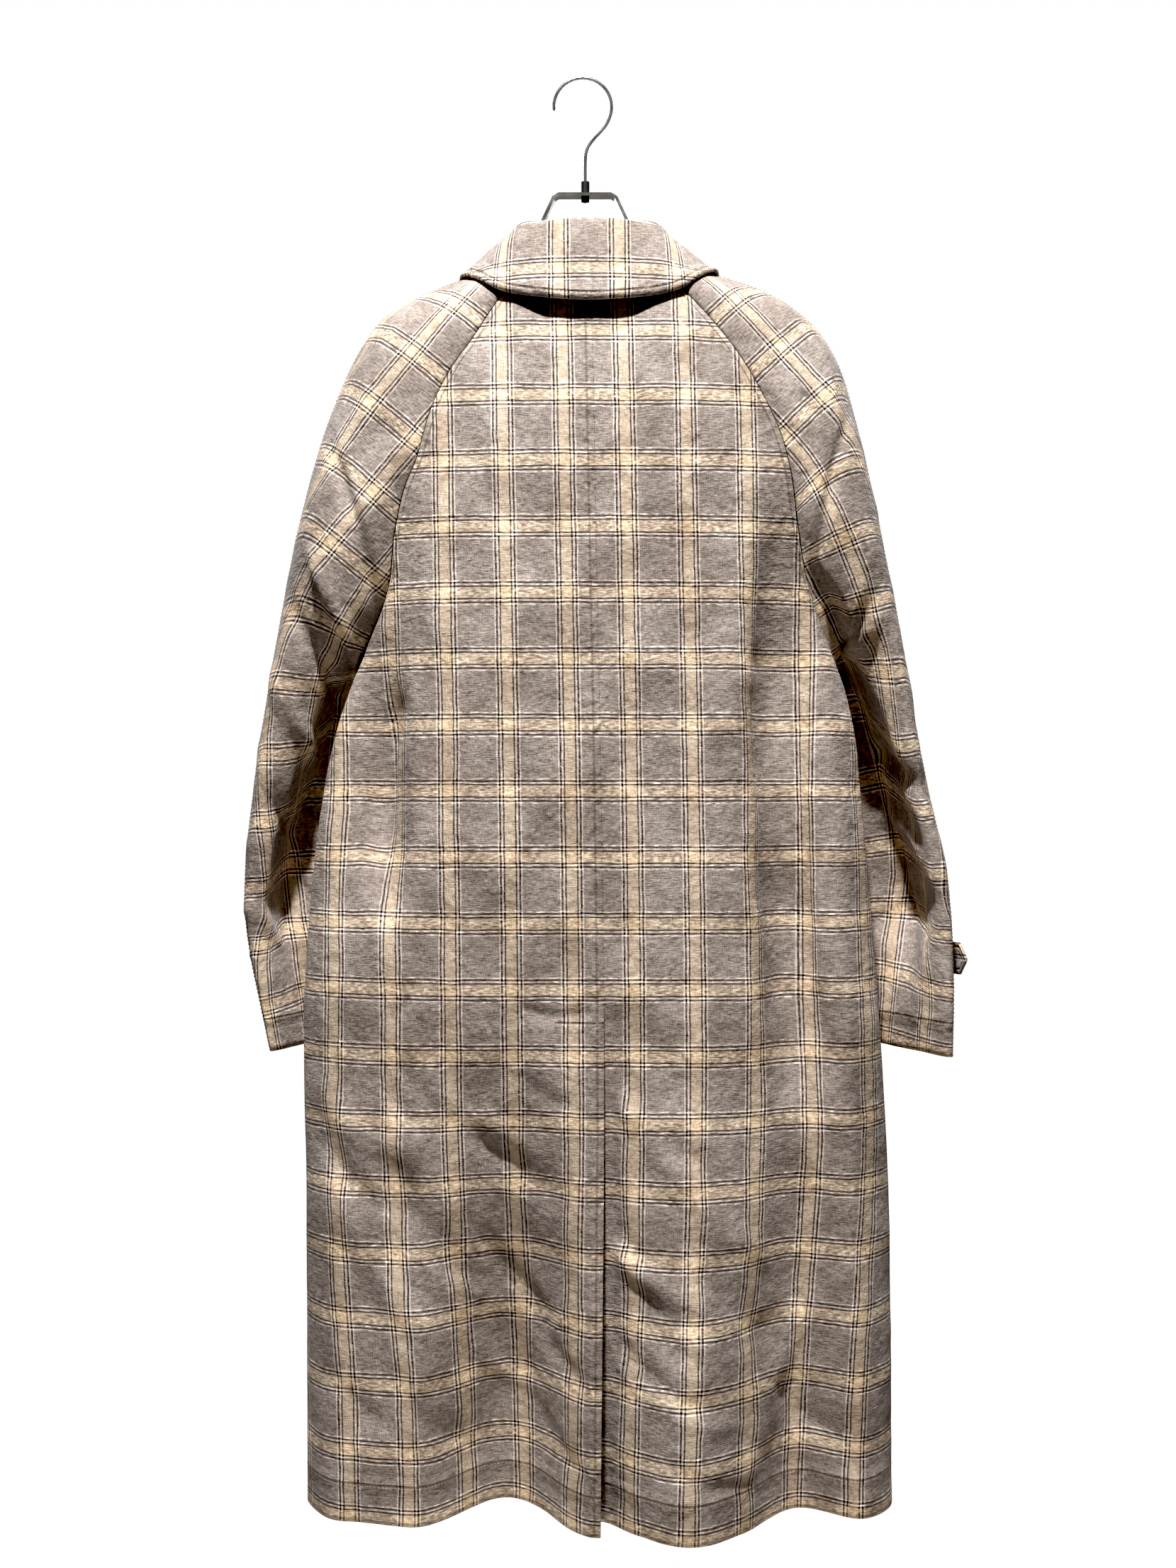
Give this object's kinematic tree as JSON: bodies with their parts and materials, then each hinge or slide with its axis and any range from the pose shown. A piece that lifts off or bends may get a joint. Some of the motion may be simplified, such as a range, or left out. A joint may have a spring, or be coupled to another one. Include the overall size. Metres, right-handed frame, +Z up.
{
  "type": "reversible coat on a hanger",
  "caption": "Knee-length raglan coat with a fold-over collar and back vent, hanging open and hollow on a metal strip hanger with a hook",
  "frame": {"origin": "inside of the hook's top, where the hook lies on a rail", "axes": "+Z up, the coat's front faces -Y and its back +Y, its own left side is +X"},
  "size_m": [0.6627, 0.2291, 1.3028],
  "materials": {
    "plaid_cloth": "woven grey and cream plaid wool, soft matt twill",
    "button": "polished dark horn effect",
    "chrome": "polished chromed steel",
    "black_steel": "black satin steel"
  },
  "bodies": {
    "root": {"back_left": "plaid_cloth", "back_right": "plaid_cloth", "vent_underlap": "plaid_cloth", "front_left": "plaid_cloth", "front_right": "plaid_cloth", "sleeve_back_left": "plaid_cloth", "sleeve_back_left_lower": "plaid_cloth", "sleeve_front_left": "plaid_cloth", "sleeve_front_left_lower": "plaid_cloth", "sleeve_back_right": "plaid_cloth", "sleeve_back_right_lower": "plaid_cloth", "sleeve_front_right": "plaid_cloth", "sleeve_front_right_lower": "plaid_cloth", "collar": "plaid_cloth", "cuff_tab_left": "plaid_cloth", "cuff_tab_right": "plaid_cloth", "cuff_button_left": "button", "cuff_button_right": "button", "front_button_1": "button", "front_button_2": "button", "front_button_3": "button", "front_button_4": "button", "front_button_5": "button", "hanger_hook": "chrome", "hanger_ferrule": "chrome", "hanger_frame": "chrome", "hanger_nut": "black_steel"}
  },
  "joints": []
}
